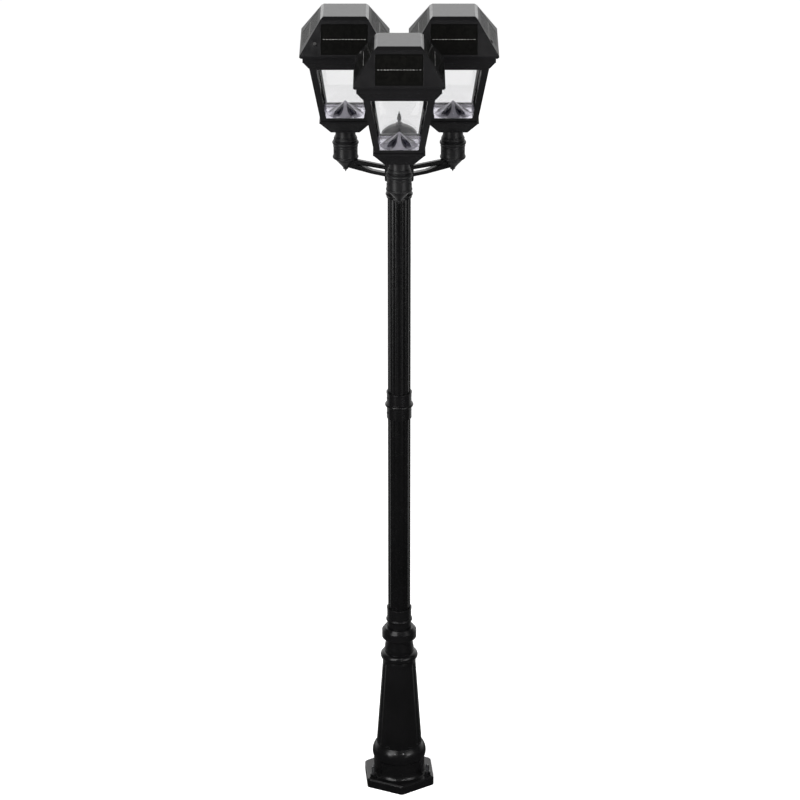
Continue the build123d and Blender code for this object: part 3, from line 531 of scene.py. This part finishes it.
def ring_faces(rings, around, closed_ends=True):
    """Faces between rings of points that have the same count, with a flat face at each end if closed."""
    faces = []
    for ring in range(rings - 1):
        low = ring * around
        high = low + around
        for step in range(around):
            beside = (step + 1) % around
            faces.append((low + step, low + beside, high + beside, high + step))
    if closed_ends:
        faces.append(tuple(range(around - 1, -1, -1)))
        faces.append(tuple((rings - 1) * around + step for step in range(around)))
    return faces


def add_plate(points, faces, outline, to_world, low, high):
    """Adds a thin plate to a mesh: an outline in a plane, between two heights over it."""
    start = len(points)
    count = len(outline)
    for height in (low, high):
        points.extend(to_world @ Vector((x, y, height)) for x, y in outline)
    faces.append(tuple(start + count - 1 - step for step in range(count)))
    faces.append(tuple(start + count + step for step in range(count)))
    for step in range(count):
        beside = (step + 1) % count
        faces.append((start + step, start + beside, start + count + beside, start + count + step))


def rectangle(x_low, x_high, y_low, y_high, corner=0.0):
    """A rectangle's outline, with cut corners where corner isn't nought."""
    if not corner:
        return [(x_low, y_low), (x_high, y_low), (x_high, y_high), (x_low, y_high)]
    return [
        (x_low + corner, y_low), (x_high - corner, y_low), (x_high, y_low + corner),
        (x_high, y_high - corner), (x_high - corner, y_high), (x_low + corner, y_high),
        (x_low, y_high - corner), (x_low, y_low + corner),
    ]


def middle_of(node):
    """The middle of a node's box."""
    low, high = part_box(node)
    return (low + high) / 2


# ---------------------------------------------------------------- solar cells

def slope_matrix(head, side):
    """The plane of one roof face: x along the eave, y up the slope, z out, the origin mid-eave."""
    axis = middle_of(f"roof_{head}")
    turn = Matrix.Rotation(math.radians(90 * side), 4, "Z")
    rise = PLATE_LOW - EAVE_TOP
    run = EAVE_HALF - PLATE_HALF
    lean = Matrix.Rotation(math.atan2(rise, run), 4, "X")
    move = Matrix.Translation((0, -EAVE_HALF, ARM_LEVEL + EAVE_TOP))
    return Matrix.Translation((axis.x, axis.y, 0)) @ turn @ move @ lean


def cell_rows():
    """The two rows' lower and upper edges up the slope, below and above the ribbon."""
    low = PANEL_UP_SLOPE - PANEL_HIGH / 2 + CELL_MARGIN
    high = PANEL_UP_SLOPE + PANEL_HIGH / 2 - CELL_MARGIN
    return ((low, PANEL_UP_SLOPE - RIBBON_GAP / 2), (PANEL_UP_SLOPE + RIBBON_GAP / 2, high))


def add_cell(points, faces, plane, left, pitch, row_low, row_high):
    """One cell with cut corners, and the fine conductor lines on it."""
    cell_top = PANEL_FACE + CELL_THICK
    outline = rectangle(left + CELL_GAP / 2, left + pitch - CELL_GAP / 2, row_low, row_high, CELL_CORNER)
    add_plate(points, faces, outline, plane, PANEL_FACE, cell_top)
    for finger in range(1, FINGERS + 1):
        middle = left + pitch * finger / (FINGERS + 1)
        outline = rectangle(middle - FINGER_WIDE / 2, middle + FINGER_WIDE / 2,
                            row_low + CELL_CORNER, row_high - CELL_CORNER)
        add_plate(points, faces, outline, plane, cell_top, PANEL_FACE + FINGER_TOP)


def solar_cells(head):
    """The silicon cells on the four panels of a head."""
    points, faces = [], []
    pitch = CELLS_WIDE / CELL_COLUMNS
    for side in range(ROOF_SIDES):
        plane = slope_matrix(head, side)
        for row_low, row_high in cell_rows():
            for column in range(CELL_COLUMNS):
                left = -CELLS_WIDE / 2 + column * pitch
                add_cell(points, faces, plane, left, pitch, row_low, row_high)
    new_piece(f"solar_cells_{head}", points, faces, SILICON, f"roof_body_{head}")


def solar_ribbons(head):
    """The soldered ribbon between the rows, dash by dash."""
    points, faces = [], []
    pitch = CELLS_WIDE / RIBBON_DASHES
    for side in range(ROOF_SIDES):
        plane = slope_matrix(head, side)
        for dash in range(RIBBON_DASHES):
            middle = -CELLS_WIDE / 2 + (dash + 0.5) * pitch
            half = pitch * RIBBON_DASH_FILLS[dash % len(RIBBON_DASH_FILLS)] / 2
            outline = rectangle(middle - half, middle + half,
                                PANEL_UP_SLOPE - RIBBON_WIDE / 2, PANEL_UP_SLOPE + RIBBON_WIDE / 2)
            add_plate(points, faces, outline, plane, PANEL_FACE, PANEL_FACE + RIBBON_THICK)
    new_piece(f"solar_ribbons_{head}", points, faces, RIBBON, f"roof_body_{head}")


# ---------------------------------------------------------------- reflector

def smooth_step(value):
    """0 up to 0, 1 from 1 on, and a smooth rise between."""
    value = min(max(value, 0.0), 1.0)
    return value * value * (3 - 2 * value)


def fold_shade(across, relief):
    """How much painted shade a fold gets, from 0 to 1, at a place across a petal and in a ring's relief."""
    edge = smooth_step((abs(across) - FOLD_START + FOLD_SPREAD * relief) / FOLD_EDGE)
    return edge * smooth_step((relief - FOLD_FADE) / FOLD_FADE)


def folded_reflector(head):
    """Five broad petals rise to a point, with a deep fold between each two."""
    low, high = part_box(f"reflector_{head}")
    axis = middle_of(f"cup_{head}")
    points, folds = [], []
    around = PETALS * PETAL_STEPS
    first_angle = math.radians(-90 + 180 / PETALS)
    for ring in range(REFLECTOR_RINGS):
        up = ring / (REFLECTOR_RINGS - 1)
        spare = (REFLECTOR_RADIUS - REFLECTOR_TIP_RADIUS) * (1 - up) ** REFLECTOR_HOLLOW
        radius = REFLECTOR_TIP_RADIUS + spare
        relief = RELIEF_LEAST + (1 - RELIEF_LEAST) * math.sin(math.pi * min(up * RELIEF_RISE, 1.0))
        for step in range(around):
            across = 2 * (step % PETAL_STEPS) / PETAL_STEPS - 1
            crease = CREASE_DEPTH * relief * abs(across) ** CREASE_SHARPNESS
            reach = radius * (1 - crease - PETAL_CROWN * across * across)
            angle = first_angle + 2 * math.pi * step / around
            points.append(polar(axis.x, axis.y, reach, angle, low.z + (high.z - low.z) * up))
            # Each point keeps how much painted shade its fold gets, which the petal silver reads.
            folds.append(fold_shade(across, relief))
    piece = new_piece(f"reflector_petals_{head}", points, ring_faces(REFLECTOR_RINGS, around),
                      PETAL_SILVER, f"lantern_{head}", PETAL_SHARP)
    shade = piece.data.attributes.new("fold", "FLOAT", "POINT")
    shade.data.foreach_set("value", folds)
    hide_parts(f"reflector_{head}")


# ---------------------------------------------------------------- anchor bolts

def anchor_spots():
    """The anchors' axes as (x, y): the middles of the washers, whose points are told apart by distance."""
    washers = []
    for vertex in NODES["anchor_washers"].data.vertices:
        spot = vertex.co.to_2d()
        near = [washer for washer in washers if (washer[0] - spot).length < WASHER_REACH]
        if near:
            near[0].append(spot)
        else:
            washers.append([spot])
    centres = []
    for washer in washers:
        xs = [spot.x for spot in washer]
        ys = [spot.y for spot in washer]
        centres.append(((min(xs) + max(xs)) / 2, (min(ys) + max(ys)) / 2))
    return sorted(centres)


def threaded_studs():
    """Rolled threads on the anchor studs, chamfered at the top."""
    low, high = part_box("anchor_studs")
    rings = int((high.z - low.z) / THREAD_PITCH * RINGS_PER_THREAD)
    points, faces = [], []
    for centre_x, centre_y in anchor_spots():
        start = len(points)
        for ring in range(rings + 1):
            height = low.z + (high.z - low.z) * ring / rings
            end_cut = STUD_END_DEEP * max(0.0, 1 - (high.z - height) / STUD_END_HIGH)
            for step in range(THREAD_STEPS):
                turn = step / THREAD_STEPS
                phase = (height / THREAD_PITCH - turn) % 1.0
                thread_cut = THREAD_DEPTH * (1 - abs(2 * phase - 1))
                reach = STUD_RADIUS - max(thread_cut, end_cut)
                points.append(polar(centre_x, centre_y, reach, 2 * math.pi * turn, height))
        faces.extend(tuple(start + index for index in face)
                     for face in ring_faces(rings + 1, THREAD_STEPS))
    piece = new_piece("threaded_studs", points, faces, DARK_ZINC, "root", STUD_SHARP)
    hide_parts("anchor_studs")


def nut_reach(angle, from_end):
    """How far a nut reaches at an angle: to its flat side, or to the cone that turns its corners down."""
    off_flat = (angle + HEXAGON_HALF) % (2 * HEXAGON_HALF) - HEXAGON_HALF
    return min(NUT_FLATS / math.cos(off_flat), NUT_FLATS * NUT_CONE_START + from_end * NUT_CONE_SLOPE)


def chamfered_nuts():
    """Hexagon nuts whose corners are turned down top and bottom, with their bores."""
    low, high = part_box("anchor_nuts")
    angles = [2 * math.pi * step / NUT_STEPS for step in range(NUT_STEPS)]
    points, faces = [], []
    for centre_x, centre_y in anchor_spots():
        outer = len(points)
        for level in NUT_LEVELS:
            height = low.z + (high.z - low.z) * level
            from_end = min(level, 1 - level) * (high.z - low.z)
            points.extend(polar(centre_x, centre_y, nut_reach(angle, from_end), angle, height)
                          for angle in angles)
        top = len(points) - NUT_STEPS
        inner = len(points)
        inner_top = inner + NUT_STEPS
        for height in (low.z, high.z):
            points.extend(polar(centre_x, centre_y, NUT_BORE_RADIUS, angle, height) for angle in angles)
        faces.extend(tuple(outer + index for index in face)
                     for face in ring_faces(len(NUT_LEVELS), NUT_STEPS, False))
        for step in range(NUT_STEPS):
            beside = (step + 1) % NUT_STEPS
            faces.append((outer + beside, outer + step, inner + step, inner + beside))
            faces.append((top + step, top + beside, inner_top + beside, inner_top + step))
            faces.append((inner + beside, inner + step, inner_top + step, inner_top + beside))
    piece = new_piece("chamfered_nuts", points, faces, DARK_ZINC, "root", NUT_SHARP)
    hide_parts("anchor_nuts")


# ---------------------------------------------------------------- studio

def world_light():
    """White to the camera and through glass, a plain level on the object; gloss sees white behind it."""
    world = bpy.data.worlds.new("studio_world")
    bpy.context.scene.world = world
    world.use_nodes = True
    tree = world.node_tree
    path = add(tree, "ShaderNodeLightPath")
    direction = add(tree, "ShaderNodeTexCoord")
    split = add(tree, "ShaderNodeSeparateXYZ", {"Vector": direction.outputs["Generated"]})
    glossy = spread(tree, split.outputs["Y"], FRONT_GLOSS, BEHIND_GLOSS, WORLD_CHANGE)
    lighting = level_between(tree, path.outputs["Is Glossy Ray"], PLAIN_LIGHT, glossy)
    level = level_between(tree, seen(tree, path), lighting, 1.0)
    background = tree.nodes["Background"]
    tree.links.new(level, background.inputs["Strength"])
    background.inputs["Color"].default_value = (*WHITE, 1)


def floor_finish():
    """Pale, lifted to white for the camera; gloss sees it dark in front, as a black card would make it."""
    made, tree, shader = new_material("pale_floor", (FLOOR_PALE,) * 3, FLOOR_ROUGHNESS,
                                      Specular_IOR_Level=0.0)
    path = add(tree, "ShaderNodeLightPath")
    split = add(tree, "ShaderNodeSeparateXYZ", {"Vector": place(tree)})
    glossy = spread(tree, split.outputs["Y"], FLOOR_FRONT_GLOSS, FLOOR_PALE, FLOOR_CHANGE)
    pale = level_between(tree, path.outputs["Is Glossy Ray"], FLOOR_PALE, glossy)
    tree.links.new(pale, shader.inputs["Base Color"])
    lift = add(tree, "ShaderNodeMath", {0: seen(tree, path), 1: FLOOR_LIFT}, operation="MULTIPLY")
    tree.links.new(lift.outputs[0], shader.inputs["Emission Strength"])
    shader.inputs["Emission Color"].default_value = (*WHITE, 1)
    return made


def wide_floor():
    """The floor, which keeps the object's soft shadow."""
    corners = [(x * FLOOR_HALF, y * FLOOR_HALF, 0) for x, y in ((-1, -1), (1, -1), (1, 1), (-1, 1))]
    mesh = bpy.data.meshes.new("floor")
    mesh.from_pydata(corners, [], [(0, 1, 2, 3)])
    mesh.materials.append(floor_finish())
    floor = bpy.data.objects.new("floor", mesh)
    put_in_scene(floor)


def softbox(name, spot, aim, size, level):
    """A square soft light that adds the given level on a surface that faces it at its aim."""
    beam = Vector(aim) - Vector(spot)
    lamp = bpy.data.lights.new(name, "AREA")
    lamp.shape = "SQUARE"
    lamp.size = size
    lamp.energy = level * math.pi ** 2 * beam.length ** 2
    holder = bpy.data.objects.new(name, lamp)
    holder.visible_camera = False
    holder.location = spot
    holder.rotation_euler = beam.to_track_quat("-Z", "Y").to_euler()
    put_in_scene(holder)


def camera():
    """The scene's camera."""
    data = bpy.data.cameras.new("camera")
    data.lens = LENS
    data.sensor_width = SENSOR
    data.shift_x = AXIS_SHIFT
    data.clip_end = CAMERA_REACH
    holder = bpy.data.objects.new("camera", data)
    holder.location = CAMERA_PLACE
    holder.rotation_euler = (math.pi / 2 - CAMERA_PITCH, 0, 0)
    put_in_scene(holder)
    bpy.context.scene.camera = holder


dress_nodes()
for head_name in HEAD_NAMES:
    solar_cells(head_name)
    solar_ribbons(head_name)
    folded_reflector(head_name)
threaded_studs()
chamfered_nuts()
world_light()
wide_floor()
for light in SOFT_LIGHTS:
    softbox(*light)
camera()
bpy.context.scene.view_settings.view_transform = "Standard"
